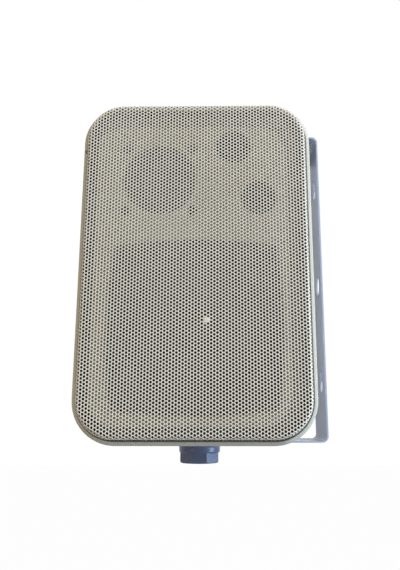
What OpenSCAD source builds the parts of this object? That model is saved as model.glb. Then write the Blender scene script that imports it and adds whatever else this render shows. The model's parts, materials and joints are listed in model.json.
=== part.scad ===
// Two-way wall speaker: a perforated steel grille in a moulded cabinet, carried by a sheet steel yoke that
// clamps with a knob above and below. Frame: the wall is the plane x = 0, the yoke's plate lies on it with its
// centre at the origin, +Z is up, and the cabinet looks along -Y, swung a quarter turn from straight ahead.

/* [Cabinet] */
// Width of the cabinet over its bezel
cabinet_w = 171; // [150:1:220]
// Height of the cabinet over its bezel
cabinet_h = 253; // [230:1:320]
// Depth from the grille's face to the back
cabinet_d = 152; // [135:1:190]
// Corner radius of the bezel
bezel_r = 31; // [24:1:38]
// Visible width of the bezel round the grille
bezel_w = 4.4; // [3.5:0.1:8]
// How far the grille's face stands in front of the bezel
grille_proud = 8; // [5:0.5:11]
// Wall thickness of the mouldings
wall = 3; // [2.5:0.1:4]
// How much narrower the back is than the front
back_narrowing = 38; // [20:1:48]
// How much lower the back is than the front
back_lowering = 28; // [16:1:36]

/* [Grille] */
// Thickness of the grille's sheet
grille_t = 0.8; // [0.6:0.1:1.2]
// Depth of the pan that the grille is pressed into
grille_pan = 14; // [11:0.5:16]
// Pitch of the holes, three times that of the fine sheet, whose open area they keep
perf_pitch = 7.5; // [7:0.1:12]
// Open share of the grille's face
perf_open = 0.3; // [0.15:0.01:0.45]

/* [Woofer] */
// Height of the woofer's centre above the cabinet's centre
woofer_z = -44.5; // [-50:0.5:-40]
// Radius of the woofer's cone at its surround
cone_r = 44; // [36:1:45]
// Width of the woofer's flange outside its surround
flange_rim = 12; // [10:0.5:16]
// Radius of the voice coil
coil_r = 12.7; // [10:0.1:16]
// Radius of the magnet
magnet_r = 35; // [28:1:40]

/* [Tweeter] */
// Radius of the tweeter's opening
tweeter_r = 27; // [22:0.5:28]
// Distance of the tweeter from the cabinet's centre line
tweeter_x = -27; // [-34:0.5:-24]
// Height of the tweeter above the cabinet's centre
tweeter_z = 65; // [62:0.5:70]
// Spacing of the tweeter's screws, across and up
tweeter_pitch = 49; // [46:0.5:54]

/* [Reflex ports] */
// Inner radius of both port tubes
port_r = 13; // [9:0.5:14]
// Length of the port tubes behind the baffle
port_len = 60; // [35:1:70]
// Place of the upper port, across and up from the centre
port_a = [28, 91]; // [-60:0.5:100]
// Place of the lower port, across and up from the centre
port_b = [46, 50.5]; // [-60:0.5:100]

/* [Yoke] */
// Thickness of the yoke's sheet
yoke_t = 1.2; // [1:0.1:3]
// Width of the yoke
yoke_w = 60; // [40:1:66]
// Room between the cabinet's widest part and the wall
yoke_room = 15; // [10:0.5:40]
// Outer radius of the yoke's two bends
yoke_bend = 5; // [4:0.5:10]
// Distance of the pivot behind the grille's face
pivot_d = 97.5; // [92:0.5:104]
// Radius of the cable hole in the plate
cable_r = 8; // [5:0.5:10]
// How far the plate's holes lie behind its centre line
hole_shift = -10; // [-12:0.5:12]
// Distance between the round ends of the two keyholes
keyhole_pitch = 165; // [100:1:190]
// Radius of a keyhole's round end
keyhole_r = 5.5; // [4:0.1:6]
// Width of a keyhole's slot
keyhole_slot = 5.2; // [4:0.1:6]
// Height of the slot's end above the round end's centre
keyhole_rise = 12; // [9:0.5:16]

/* [Knobs] */
// Width of the knob across its corners
knob_w = 33; // [26:0.5:40]
// Height of the knob
knob_h = 16.8; // [12:0.2:24]
// Number of flats on the knob
knob_flats = 8; // [6:1:10]
// Radius of the knob's stud
stud_r = 3; // [2.5:0.5:4]
// Running clearance round the stud
stud_gap = 0.1; // [0.05:0.01:0.1]

/* [Terminal] */
// Width and height of the terminal cup's well
cup_w = 52; // [46:1:60]
// Depth of the terminal cup's well
cup_d = 20; // [16:1:24]
// Height of the terminal cup above the cabinet's centre
cup_z = -50; // [-58:1:-40]

/* [Hidden] */
$fn = 48;
eps = 0.01;
skin_t = 0.05;
rib_h = 0.7;

// Colours
sand = [0.78, 0.75, 0.67];
pale = [0.84, 0.82, 0.76];
slate = [0.56, 0.59, 0.68];
blue_grey = [0.30, 0.34, 0.43];
black = [0.07, 0.07, 0.08];
steel = [0.72, 0.73, 0.75];
ferrite = [0.20, 0.20, 0.21];
brass = [0.80, 0.66, 0.36];

// Front moulding
lip_d = grille_proud + 0.5;
split_d = 30;
lip_soft = 4.5;
back_r = bezel_r - 4;
grille_gap = 0.7;
grille_w = cabinet_w - 2 * bezel_w;
grille_h = cabinet_h - 2 * bezel_w;
grille_r = bezel_r - bezel_w;
grille_bend = 3;
channel_w = 8;
baffle_d = 7;
floor_d = baffle_d + 11.5;
plateau_w = grille_w - 2 * channel_w;
plateau_h = grille_h - 2 * channel_w;
plateau_r = grille_r - channel_w;

// Yoke, which takes its reach and height from the cabinet
yoke_reach = cabinet_w / 2 + yoke_room;
washer_t = 1.5;
boss_top = cabinet_h / 2 - 2.5;
yoke_h = 2 * (boss_top + washer_t + yoke_t);
boss_r = 20;
washer_r = 17;
insert_len = 12;
insert_r = 5;
stud_len = insert_len + washer_t + yoke_t - 1;
stud_head = 7;
stud_head_h = 6;

// Woofer, as depths behind the grille's face
flange_t = 2.4;
flange_d = baffle_d - flange_t;
woofer_corner = 16;
woofer_bulge = 5;
surround_w = 6;
rubber_t = 0.8;
woofer_w = 2 * (cone_r + surround_w + flange_rim);
woofer_hole = cone_r + surround_w + 3;
woofer_screw = woofer_w / 2 - 14;
cone_d = 23;
cone_t = 0.8;
spider_r = 30;
spider_d = 27;
top_plate_d = 38;
top_plate_t = 4;
magnet_t = 12;
back_plate_t = 5;
back_plate_d = top_plate_d + top_plate_t + magnet_t;
coil_gap = 0.8;
basket_r = 38;
basket_ring_t = 2;

// Tweeter, behind the baffle
skin = 3;
tweeter_d = baffle_d + skin;
tweeter_plate = 62;
tweeter_plate_t = 2.5;
tweeter_cone_r = 24;
tweeter_coil_r = 8;
tweeter_cone_d = 13;
tweeter_magnet_r = 19;
tweeter_magnet_t = 9;

// Terminal cup and crossover
cup_flange = 7;
cup_flange_t = 1.5;
cup_t = 2;
back_in = cabinet_d - wall;
lever_w = 12;
lever_h = 16;
lever_t = 5;
lever_x = 13;
lever_d = cabinet_d - 6;
lever_z = cup_z + 2;
lever_drum_r = 2.6;
axle_r = 1.2;
axle_gap = 0.05;
axle_len = cup_w + 2;
board_w = 74;
board_h = 58;
board_t = 1.6;
board_z = 32;
board_d = back_in - 10;
clip_t = 0.6;

// Screws
shell_screw_x = (cabinet_w - back_narrowing) / 2 - 15;
shell_screw_z = (cabinet_h - back_lowering) / 2 - 26;
shell_screw_sink = 6;
terminal_screw_r = 1.3;
terminal_screw = cup_w / 2 + 4.2;
post_r = 5;
screw_r = 1.8;
head_r = 3.4;
head_h = 2;

// Shared shapes

// Everything of the cabinet is drawn with the grille's face at y = 0 and the depth along +Y
module cabinet() {
    translate([-yoke_reach, -pivot_d, 0]) children();
}

// A flat outline in X and Z, thickened from depth d0 to depth d1
module slab(d0, d1) {
    translate([0, d1, 0]) rotate([90, 0, 0]) linear_extrude(d1 - d0) children();
}

// A profile of [radius, depth] points turned about a depth axis at x, z
module turned(x = 0, z = 0) {
    translate([x, 0, z]) rotate([-90, 0, 0]) rotate_extrude() children();
}

// A straight round bar or bore along the depth
module bar(r, d0, d1, x = 0, z = 0) {
    translate([x, d0, z]) rotate([-90, 0, 0]) cylinder(h = d1 - d0, r = r);
}

module rounded(w, h, r) {
    square([w - 2 * r, h], center = true);
    square([w, h - 2 * r], center = true);
    for (x = [-1, 1], z = [-1, 1])
        translate([x * (w / 2 - r), z * (h / 2 - r)]) circle(r);
}

// One above and one below, about the pivot axis: side is 1 at the top and -1 at the bottom
module at_end(side) {
    translate([-yoke_reach, 0, 0]) mirror([0, 0, side < 0 ? 1 : 0]) children();
}

// Yoke

module keyhole() {
    circle(keyhole_r);
    translate([-keyhole_slot / 2, 0]) square([keyhole_slot, keyhole_rise - keyhole_slot / 2]);
    translate([0, keyhole_rise - keyhole_slot / 2]) circle(keyhole_slot / 2);
}

module yoke_side(inset) {
    reach = yoke_reach + yoke_w / 2;
    r = yoke_bend - inset;
    difference() {
        translate([-2 * reach, -yoke_h / 2 + inset]) square([2 * reach - inset, yoke_h - 2 * inset]);
        for (side = [-1, 1])
            translate([-inset, side * (yoke_h / 2 - inset)])
                difference() {
                    square(2 * r, center = true);
                    translate([-r, -side * r]) circle(r);
                }
    }
}

module yoke() {
    color(slate) difference() {
        intersection() {
            translate([0, yoke_w / 2, 0]) rotate([90, 0, 0]) linear_extrude(yoke_w) difference() {
                yoke_side(0);
                yoke_side(yoke_t);
            }
            translate([0, 0, -yoke_h]) linear_extrude(2 * yoke_h) union() {
                translate([-yoke_reach, 0]) circle(yoke_w / 2);
                translate([-yoke_reach, -yoke_w / 2]) square([yoke_reach, yoke_w]);
            }
        }
        translate([-yoke_reach, 0, -yoke_h]) cylinder(h = 2 * yoke_h, r = stud_r + stud_gap);
        translate([-yoke_t - 1, 0, 0]) rotate([90, 0, 90]) linear_extrude(yoke_t + 2)
            translate([hole_shift, 0]) {
                circle(cable_r);
                for (side = [-1, 1]) translate([0, side * keyhole_pitch / 2]) keyhole();
            }
    }
}

// Front moulding: bezel, grille channel and baffle in one piece

// The block's lip is eased in three steps
module bezel_block() {
    hull() {
        for (ease = [[0, 2.4], [0.5, 1.1], [1.7, 0.3]])
            slab(lip_d + ease[0], lip_d + ease[0] + skin_t)
                rounded(cabinet_w - 2 * ease[1], cabinet_h - 2 * ease[1], bezel_r - ease[1]);
        slab(lip_d + lip_soft, lip_d + lip_soft + skin_t) rounded(cabinet_w, cabinet_h, bezel_r);
    }
    slab(lip_d + lip_soft, split_d) rounded(cabinet_w, cabinet_h, bezel_r);
}

module tweeter_corners() {
    for (x = [-1, 1], z = [-1, 1])
        translate([tweeter_x + x * tweeter_pitch / 2, tweeter_z + z * tweeter_pitch / 2]) children();
}

module woofer_corners() {
    for (x = [-1, 1], z = [-1, 1])
        translate([x * woofer_screw, woofer_z + z * woofer_screw]) children();
}

module front_frame() {
    color(sand) cabinet() difference() {
        union() {
            difference() {
                bezel_block();
                slab(0, floor_d) rounded(grille_w + 2 * grille_gap, grille_h + 2 * grille_gap,
                    grille_r + grille_gap);
                slab(floor_d + wall, split_d + 1) rounded(cabinet_w - 2 * wall, cabinet_h - 2 * wall,
                    bezel_r - wall);
            }
            slab(baffle_d, floor_d + 1) rounded(plateau_w, plateau_h, plateau_r);
        }
        slab(baffle_d + skin, floor_d + wall + 1)
            rounded(plateau_w - 2 * skin, plateau_h - 2 * skin, plateau_r - skin);
        bar(woofer_hole, 0, split_d, 0, woofer_z);
        bar(tweeter_r, 0, split_d, tweeter_x, tweeter_z);
        for (p = [port_a, port_b]) bar(port_r, 0, split_d, p[0], p[1]);
        slab(0, tweeter_d + 1) tweeter_corners() circle(screw_r);
        slab(0, tweeter_d + 1) woofer_corners() circle(screw_r);
    }
}

// Rear moulding

module shell_block(inset) {
    hull() {
        slab(split_d, split_d + skin_t)
            rounded(cabinet_w - 2 * inset, cabinet_h - 2 * inset, bezel_r - inset);
        slab(cabinet_d - 8, cabinet_d - 8 + skin_t)
            rounded(cabinet_w - back_narrowing - 2 * inset, cabinet_h - back_lowering - 2 * inset,
                back_r - inset);
        slab(cabinet_d - inset - skin_t, cabinet_d - inset)
            rounded(cabinet_w - back_narrowing - 10 - 2 * inset, cabinet_h - back_lowering - 10 - 2 * inset,
                back_r - 5 - inset);
    }
}

module shell_posts(r, d0, d1) {
    for (x = [-1, 1], z = [-1:1]) bar(r, d0, d1, x * shell_screw_x, z * shell_screw_z);
}

module terminal_corners(r, d0, d1) {
    for (x = [-1, 1], z = [-1, 1]) bar(r, d0, d1, x * terminal_screw, cup_z + z * terminal_screw);
}

module rear_shell() {
    color(sand) cabinet() difference() {
        union() {
            difference() {
                shell_block(0);
                shell_block(wall);
            }
            intersection() {
                shell_block(0.5);
                shell_posts(post_r, split_d, cabinet_d);
            }
            for (side = [-1, 1]) mirror([0, 0, side < 0 ? 1 : 0])
                translate([0, pivot_d, boss_top - insert_len - 3]) cylinder(h = insert_len + 3, r = boss_r);
        }
        for (side = [-1, 1]) mirror([0, 0, side < 0 ? 1 : 0])
            translate([0, pivot_d, boss_top - insert_len - 3 - 1]) cylinder(h = insert_len + 5, r = insert_r);
        shell_posts(screw_r, split_d - 1, cabinet_d + 1);
        shell_posts(head_r, cabinet_d - shell_screw_sink, cabinet_d + 1);
        terminal_corners(terminal_screw_r, back_in - 1, cabinet_d + 1);
        slab(back_in - 1, cabinet_d + 1) translate([0, cup_z]) square(cup_w + 2 * cup_t, center = true);
    }
}

// Grille

// The solid inside a pressed pan: its face, four straight edges and four round corners with one section
module pan_block(inset, d1) {
    w = grille_w - 2 * inset;
    h = grille_h - 2 * inset;
    r = grille_r - inset;
    slab(inset, d1) square([w - 2 * r, h - 2 * r], center = true);
    for (x = [-1, 1], z = [-1, 1])
        turned(x * (w / 2 - r), z * (h / 2 - r)) pan_section(r, inset, d1);
    for (side = [0, 1]) {
        mirror([side, 0, 0]) linear_extrude(h - 2 * r, center = true)
            translate([w / 2 - r, 0]) pan_section(r, inset, d1);
        mirror([0, 0, side]) rotate([0, -90, 0]) linear_extrude(w - 2 * r, center = true)
            translate([h / 2 - r, 0]) pan_section(r, inset, d1);
    }
}

module pan_section(r, inset, d1) {
    bend = grille_bend - inset;
    translate([0, inset]) square([r - bend, d1 - inset]);
    translate([0, grille_bend]) square([r, d1 - grille_bend]);
    translate([r - bend, grille_bend]) circle(bend);
}

module perforation() {
    hole_r = perf_pitch * sqrt(perf_open * sqrt(3) / (2 * PI));
    step_x = perf_pitch * sqrt(3) / 2;
    margin = grille_bend + hole_r + 0.6;
    r_in = grille_r - margin;
    nx = floor((grille_w / 2 - margin) / step_x);
    nz = floor((grille_h / 2 - margin) / perf_pitch);
    corner = [grille_w / 2 - grille_r, grille_h / 2 - grille_r];
    for (i = [-nx:nx], j = [-nz:nz]) {
        p = [i * step_x, j * perf_pitch + (i % 2 == 0 ? 0 : perf_pitch / 2)];
        past = [max(abs(p[0]) - corner[0], 0), max(abs(p[1]) - corner[1], 0)];
        if (norm(past) < r_in && abs(p[1]) < grille_h / 2 - margin) translate(p) circle(hole_r);
    }
}

module grille() {
    color(pale) cabinet() difference() {
        pan_block(0, grille_pan);
        pan_block(grille_t, grille_pan + 1);
        slab(-1, grille_t + 0.5) perforation();
    }
}

// Woofer

// A square with bowed sides and round corners
module woofer_outline() {
    half = woofer_w / 2;
    bow_r = (half * half + woofer_bulge * woofer_bulge) / (2 * woofer_bulge);
    intersection() {
        rounded(woofer_w, woofer_w, woofer_corner);
        translate([0, half - bow_r]) circle(bow_r, $fn = 200);
        translate([0, bow_r - half]) circle(bow_r, $fn = 200);
        translate([half - bow_r, 0]) circle(bow_r, $fn = 200);
        translate([bow_r - half, 0]) circle(bow_r, $fn = 200);
    }
}

module woofer_basket() {
    rim = cone_r + surround_w + 1;
    color(ferrite) cabinet() difference() {
        union() {
            slab(flange_d, baffle_d) translate([0, woofer_z]) woofer_outline();
            turned(0, woofer_z) polygon([[rim + 1.5, baffle_d - 1], [rim + 1.5, baffle_d + 5],
                [basket_r, spider_d + 1], [basket_r, top_plate_d], [basket_r - 2, top_plate_d],
                [basket_r - 2, spider_d], [rim - 0.5, baffle_d + 4], [rim - 0.5, baffle_d - 1]]);
            turned(0, woofer_z) polygon([[coil_r + 3, top_plate_d - basket_ring_t],
                [basket_r, top_plate_d - basket_ring_t], [basket_r, top_plate_d], [coil_r + 3, top_plate_d]]);
        }
        bar(rim, 0, baffle_d + rubber_t, 0, woofer_z);
        for (a = [45:90:315]) translate([0, 0, woofer_z]) rotate([0, a, 0])
            translate([20, spider_d + 3, -14]) cube([40, top_plate_d - spider_d - 6, 28]);
        slab(flange_d - 1, baffle_d + 1) woofer_corners() circle(screw_r + 0.3);
    }
}

module woofer_surround() {
    r = surround_w / 2;
    color(black) cabinet() turned(0, woofer_z) translate([cone_r + r, baffle_d]) union() {
        difference() {
            circle(r);
            circle(r - rubber_t);
            translate([-r - 1, 0]) square([2 * r + 2, r + 1]);
        }
        translate([r - rubber_t, 0]) square([1.8, rubber_t]);
        translate([-r - 2, 0]) square([2.8, rubber_t]);
    }
}

module woofer_cone() {
    color(black) cabinet() turned(0, woofer_z) polygon([
        [cone_r, baffle_d + 0.8], [cone_r - 2, baffle_d + 0.8], [coil_r + 5, cone_d - 3.5],
        [coil_r, cone_d], [coil_r, cone_d + cone_t + 0.4], [coil_r + 5.5, cone_d - 3.5 + cone_t + 0.4],
        [cone_r, baffle_d + 0.8 + cone_t + 0.4]]);
}

module woofer_dust_cap() {
    cap_r = coil_r + 5;
    ball = 22;
    rise = ball - sqrt(ball * ball - cap_r * cap_r);
    color(black) cabinet() translate([0, cone_d - 3.5, woofer_z]) rotate([90, 0, 0]) intersection() {
        translate([0, 0, rise - ball]) difference() {
            sphere(ball);
            sphere(ball - 0.8);
        }
        cylinder(h = rise + 1, r = cap_r + 1);
    }
}

module woofer_spider() {
    steps = 6;
    wave = (spider_r - coil_r) / steps;
    color([0.75, 0.62, 0.35]) cabinet() turned(0, woofer_z) polygon(concat(
        [for (i = [0:steps]) [coil_r + 0.4 + i * (wave - 0.07), spider_d + (i % 2) * 1.6]],
        [[basket_r - 2.05, spider_d + 1.2], [basket_r - 2.05, spider_d + 1.8]],
        [for (i = [steps:-1:0]) [coil_r + 0.4 + i * (wave - 0.07), spider_d + 0.6 + (i % 2) * 1.6]]));
}

module woofer_voice_coil() {
    color([0.62, 0.36, 0.18]) cabinet() difference() {
        union() {
            bar(coil_r, cone_d - 3, top_plate_d + 6, 0, woofer_z);
            bar(coil_r + 0.35, top_plate_d - 4, top_plate_d + 6, 0, woofer_z);
        }
        bar(coil_r - 0.3, cone_d - 4, top_plate_d + 7, 0, woofer_z);
    }
}

module ring(r_out, r_in, d0, d1, x, z) {
    difference() {
        bar(r_out, d0, d1, x, z);
        bar(r_in, d0 - 1, d1 + 1, x, z);
    }
}

module woofer_top_plate() {
    color(steel) cabinet()
        ring(magnet_r - 2, coil_r + coil_gap, top_plate_d, top_plate_d + top_plate_t, 0, woofer_z);
}

module woofer_magnet() {
    color(ferrite) cabinet()
        ring(magnet_r, coil_r + 5, top_plate_d + top_plate_t, back_plate_d, 0, woofer_z);
}

module woofer_pole_piece() {
    color(steel) cabinet() turned(0, woofer_z) polygon([[0, top_plate_d], [coil_r - coil_gap, top_plate_d],
        [coil_r - coil_gap, back_plate_d], [magnet_r - 2, back_plate_d],
        [magnet_r - 4, back_plate_d + back_plate_t], [0, back_plate_d + back_plate_t]]);
}

// A pan head screw whose head sits on depth d and whose shank runs back for len
module screw(d, len, x = 0, z = 0) {
    turned(x, z) polygon([[0, d - head_h], [head_r - 1, d - head_h], [head_r, d - head_h + 0.9], [head_r, d],
        [screw_r, d], [screw_r, d + len - 1.5], [0, d + len]]);
}

module woofer_screws() {
    color(black) cabinet() for (x = [-1, 1], z = [-1, 1])
        screw(flange_d, 10, x * woofer_screw, woofer_z + z * woofer_screw);
}

// Tweeter

module tweeter_frame() {
    back = tweeter_d + tweeter_plate_t;
    color(ferrite) cabinet() difference() {
        union() {
            slab(tweeter_d, back) translate([tweeter_x, tweeter_z])
                rounded(tweeter_plate, tweeter_plate, 6);
            turned(tweeter_x, tweeter_z) polygon([[tweeter_r, back - 1], [tweeter_r, back + 2],
                [tweeter_magnet_r - 1, tweeter_d + tweeter_cone_d + 2],
                [tweeter_coil_r + 1, tweeter_d + tweeter_cone_d + 2],
                [tweeter_coil_r + 1, tweeter_d + tweeter_cone_d + 0.5],
                [tweeter_magnet_r - 2, tweeter_d + tweeter_cone_d + 0.5], [tweeter_r - 1.5, back],
                [tweeter_r - 1.5, back - 1]]);
        }
        bar(tweeter_cone_r + 0.2, 0, back + 1, tweeter_x, tweeter_z);
        slab(0, back + 1) tweeter_corners() circle(screw_r);
    }
}

module tweeter_cone() {
    color(black) cabinet() turned(tweeter_x, tweeter_z) polygon([
        [tweeter_cone_r, tweeter_d + 0.6], [tweeter_cone_r - 2, tweeter_d + 1.4],
        [tweeter_cone_r - 3.5, tweeter_d + 1], [tweeter_coil_r, tweeter_d + tweeter_cone_d - 3],
        [tweeter_coil_r - 3, tweeter_d + tweeter_cone_d - 5.5], [0, tweeter_d + tweeter_cone_d - 6.4],
        [0, tweeter_d + tweeter_cone_d - 5.6], [tweeter_coil_r - 3, tweeter_d + tweeter_cone_d - 4.7],
        [tweeter_coil_r, tweeter_d + tweeter_cone_d - 2], [tweeter_cone_r - 3.5, tweeter_d + 2],
        [tweeter_cone_r, tweeter_d + 1.4]]);
}

module tweeter_magnet() {
    front = tweeter_d + tweeter_cone_d + 2;
    color(steel) cabinet() bar(tweeter_magnet_r, front, front + tweeter_magnet_t, tweeter_x, tweeter_z);
}

module tweeter_screws() {
    color(black) cabinet() for (x = [-1, 1], z = [-1, 1])
        screw(baffle_d, 9, tweeter_x + x * tweeter_pitch / 2, tweeter_z + z * tweeter_pitch / 2);
}

// Reflex ports

module port_tube(place) {
    front = baffle_d + skin;
    color(black) cabinet() turned(place[0], place[1]) polygon([[port_r, front], [port_r + 6, front],
        [port_r + 6, front + 2], [port_r + 2, front + 2], [port_r + 2, front + port_len - 4],
        [port_r + 5, front + port_len], [port_r + 3.5, front + port_len], [port_r, front + port_len - 5]]);
}

// Crossover

module crossover_board() {
    color([0.16, 0.36, 0.24]) cabinet() slab(board_d - board_t, board_d) translate([0, board_z])
        square([board_w, board_h], center = true);
}

module crossover_coil() {
    front = board_d - board_t;
    color([0.72, 0.40, 0.18]) cabinet() turned(-18, board_z + 6) polygon([[4, front - 16], [14, front - 16],
        [14, front - 14], [12, front - 14], [12, front - 2], [14, front - 2], [14, front], [4, front]]);
}

module crossover_capacitors() {
    front = board_d - board_t;
    color(blue_grey) cabinet() for (z = [-16, 4])
        translate([6, front - 6, board_z + z]) rotate([0, 90, 0]) cylinder(h = 24, r = 6);
}

// Terminal cup, let into the back

module terminal_cup() {
    color(black) cabinet() difference() {
        union() {
            slab(cabinet_d, cabinet_d + cup_flange_t) translate([0, cup_z])
                rounded(cup_w + 2 * cup_flange, cup_w + 2 * cup_flange, 5);
            slab(cabinet_d - cup_d, cabinet_d) translate([0, cup_z])
                square(cup_w + 2 * cup_t - 0.4, center = true);
        }
        slab(cabinet_d - cup_d + cup_t, cabinet_d + 2) translate([0, cup_z]) square(cup_w, center = true);
        translate([0, lever_d, lever_z]) rotate([0, 90, 0]) cylinder(h = axle_len, r = axle_r, center = true);
        terminal_corners(terminal_screw_r + 0.2, cabinet_d - 1, cabinet_d + 2);
    }
}

module lever_axle() {
    color(steel) cabinet() translate([0, lever_d, lever_z]) rotate([0, 90, 0])
        cylinder(h = axle_len, r = axle_r, center = true);
}

module terminal_clips() {
    front = cabinet_d - cup_d + cup_t;
    color(brass) cabinet() for (side = [-1, 1])
        translate([side * lever_x - 3, front, cup_z - 14]) {
            cube([6, clip_t, 14]);
            cube([6, 7, clip_t]);
        }
}

// A push lever that rocks on the axle, its side's tab standing up from the drum
module lever(side) {
    translate([side * lever_x, lever_d, lever_z]) difference() {
        union() {
            translate([-lever_w / 2, -2, 0]) cube([lever_w, lever_t, lever_h]);
            for (rib = [1:3]) translate([-lever_w / 2, lever_t - 2 - eps, lever_h - 2.4 * rib])
                cube([lever_w, rib_h, 1]);
            rotate([0, 90, 0]) cylinder(h = lever_w, r = lever_drum_r, center = true);
        }
        rotate([0, 90, 0]) cylinder(h = lever_w + 2, r = axle_r + axle_gap, center = true);
    }
}

module lever_red() { color([0.70, 0.10, 0.10]) cabinet() lever(1); }
module lever_black() { color(black) cabinet() lever(-1); }

// A screw that goes in from the back, its head's outer face at depth d and crossed for a driver
module back_screw(d, r, cap_r, cap_h, len, x, z) {
    translate([x, d, z]) rotate([90, 0, 0]) difference() {
        union() {
            cylinder(h = cap_h, r = cap_r);
            cylinder(h = cap_h + len, r = r);
        }
        for (turn = [0, 90]) rotate(turn) cube([1.2 * cap_r, 0.28 * cap_r, 1.2 * cap_h], center = true);
    }
}

module terminal_screws() {
    color(steel) cabinet() for (x = [-1, 1], z = [-1, 1])
        back_screw(cabinet_d + cup_flange_t + 1.6, terminal_screw_r, 2.6, 1.6, 8,
            x * terminal_screw, cup_z + z * terminal_screw);
}

module shell_screws() {
    color(steel) cabinet() for (x = [-1, 1], z = [-1:1])
        back_screw(cabinet_d - shell_screw_sink + head_h, screw_r, head_r - 0.2, head_h,
            cabinet_d - shell_screw_sink - split_d - 2, x * shell_screw_x, z * shell_screw_z);
}

// Pivots: insert, washer, knob and stud, the same at both ends

module insert_part(side) {
    color(brass) at_end(side) translate([0, 0, boss_top - insert_len]) difference() {
        cylinder(h = insert_len, r = insert_r);
        translate([0, 0, -1]) cylinder(h = insert_len + 2, r = stud_r + stud_gap / 2);
    }
}

module washer_part(side) {
    color(black) at_end(side) translate([0, 0, boss_top]) difference() {
        cylinder(h = washer_t, r = washer_r);
        translate([0, 0, -1]) cylinder(h = washer_t + 2, r = stud_r + 0.5);
    }
}

module knob_part(side) {
    collar_r = knob_w / 2 + 1.5;
    collar_h = 3;
    color(blue_grey) at_end(side) translate([0, 0, yoke_h / 2]) difference() {
        union() {
            rotate_extrude() polygon([[0, 0], [collar_r, 0], [collar_r, 1], [knob_w / 2 + 0.3, collar_h],
                [0, collar_h]]);
            intersection() {
                translate([0, 0, 1]) rotate([0, 0, 180 / knob_flats])
                    cylinder(h = knob_h - 1, r = knob_w / 2, $fn = knob_flats);
                rotate_extrude() polygon([[0, -1], [knob_w / 2 + 2, -1], [knob_w / 2 + 2, knob_h - 3.4],
                    [knob_w / 2 - 2.4, knob_h + 1], [0, knob_h + 1]]);
            }
        }
        translate([0, 0, -1]) cylinder(h = stud_head_h + 1, r = stud_head);
        translate([0, 0, knob_h - 1.6]) cylinder(h = 3, r = knob_w / 2 - 6);
    }
}

module stud_part(side) {
    color(steel) at_end(side) translate([0, 0, yoke_h / 2]) union() {
        cylinder(h = stud_head_h, r = stud_head);
        translate([0, 0, -stud_len]) cylinder(h = stud_len + 1, r = stud_r);
    }
}

module insert_upper() { insert_part(1); }
module insert_lower() { insert_part(-1); }
module washer_upper() { washer_part(1); }
module washer_lower() { washer_part(-1); }
module knob_upper() { knob_part(1); }
module knob_lower() { knob_part(-1); }
module stud_upper() { stud_part(1); }
module stud_lower() { stud_part(-1); }

// Soft filling behind the ports
module wadding() {
    color([0.85, 0.85, 0.82]) cabinet() slab(80, 118) translate([0, 58]) rounded(84, 58, 12);
}

yoke();
front_frame();
rear_shell();
grille();
woofer_basket();
woofer_surround();
woofer_cone();
woofer_dust_cap();
woofer_spider();
woofer_voice_coil();
woofer_top_plate();
woofer_magnet();
woofer_pole_piece();
woofer_screws();
tweeter_frame();
tweeter_cone();
tweeter_magnet();
tweeter_screws();
port_tube(port_a);  // port_tube_upper
port_tube(port_b);  // port_tube_lower
crossover_board();
crossover_coil();
crossover_capacitors();
terminal_cup();
terminal_clips();
lever_axle();
lever_red();
lever_black();
terminal_screws();
shell_screws();
insert_upper();
insert_lower();
washer_upper();
washer_lower();
knob_upper();
knob_lower();
stud_upper();
stud_lower();
wadding();
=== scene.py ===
"""Looks of a two-way wall speaker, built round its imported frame.

The frame's cabinet looks along -Y. Its grille is redrawn here with every hole of the fine perforated sheet,
and each of its parts gets a finish made of shader nodes. RIM is how many corners a hole of the sheet has.
"""

from __future__ import annotations

import json
import logging
import math
from dataclasses import dataclass, field
from enum import Enum
from typing import ClassVar

import bpy
import numpy as np
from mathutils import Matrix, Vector

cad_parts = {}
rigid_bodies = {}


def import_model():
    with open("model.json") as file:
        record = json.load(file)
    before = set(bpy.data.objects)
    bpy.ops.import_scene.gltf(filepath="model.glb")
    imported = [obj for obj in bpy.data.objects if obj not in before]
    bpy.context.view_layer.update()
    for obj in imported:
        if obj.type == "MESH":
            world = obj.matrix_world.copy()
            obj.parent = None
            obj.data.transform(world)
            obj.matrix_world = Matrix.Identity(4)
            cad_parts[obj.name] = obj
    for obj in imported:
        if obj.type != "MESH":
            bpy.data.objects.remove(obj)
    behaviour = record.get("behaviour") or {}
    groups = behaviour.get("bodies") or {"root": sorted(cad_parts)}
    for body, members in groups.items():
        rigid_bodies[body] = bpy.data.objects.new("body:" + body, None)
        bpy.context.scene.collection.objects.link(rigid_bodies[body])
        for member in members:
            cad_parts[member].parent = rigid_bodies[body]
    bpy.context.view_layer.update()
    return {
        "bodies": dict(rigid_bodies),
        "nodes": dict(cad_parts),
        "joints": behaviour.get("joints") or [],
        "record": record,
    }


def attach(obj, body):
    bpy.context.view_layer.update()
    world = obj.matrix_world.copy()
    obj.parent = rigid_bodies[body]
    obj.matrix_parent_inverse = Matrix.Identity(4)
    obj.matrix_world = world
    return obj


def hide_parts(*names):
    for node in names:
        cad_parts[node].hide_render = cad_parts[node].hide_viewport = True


LOG = logging.getLogger("wall_speaker")
MM = 0.001

ACROSS_AND_UP = (1.0, 0.0, 1.0)
WHITE = (1.0, 1.0, 1.0)
RIM = 8

Colour = tuple[float, float, float]
Point = tuple[float, float, float]


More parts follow.
